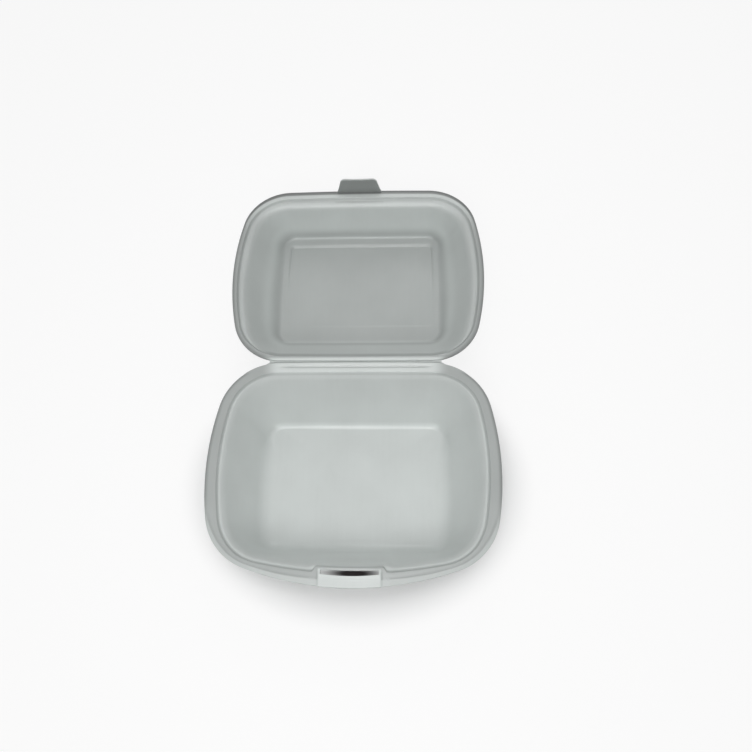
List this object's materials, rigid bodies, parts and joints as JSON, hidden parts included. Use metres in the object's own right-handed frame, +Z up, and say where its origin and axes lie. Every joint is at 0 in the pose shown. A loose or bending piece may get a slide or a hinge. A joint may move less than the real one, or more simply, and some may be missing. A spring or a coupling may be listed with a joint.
{
  "type": "foam clamshell container",
  "caption": "Open foam clamshell food container: a deep base tray and a lid tray joined by a pressed hinge strip, with a tab that drops into a slot.",
  "frame": {"origin": "on the table, at the middle of the open box's footprint; the hinge crease is 4.1 mm towards +Y of it", "axes": "+X along the hinge crease, +Y from the base tray to the open lid, +Z up"},
  "size_m": [0.185, 0.2834, 0.0525],
  "materials": {
    "foam": "satin foam skin"
  },
  "bodies": {
    "base": {"base": "foam"},
    "lid": {"lid": "foam"}
  },
  "joints": [
    {"name": "lid_hinge", "type": "hinge", "parent": "base", "child": "lid", "pos_m": [0, 0.0041, 0.03765], "axis": [1, 0, 0], "range_deg": [0, 180]}
  ]
}
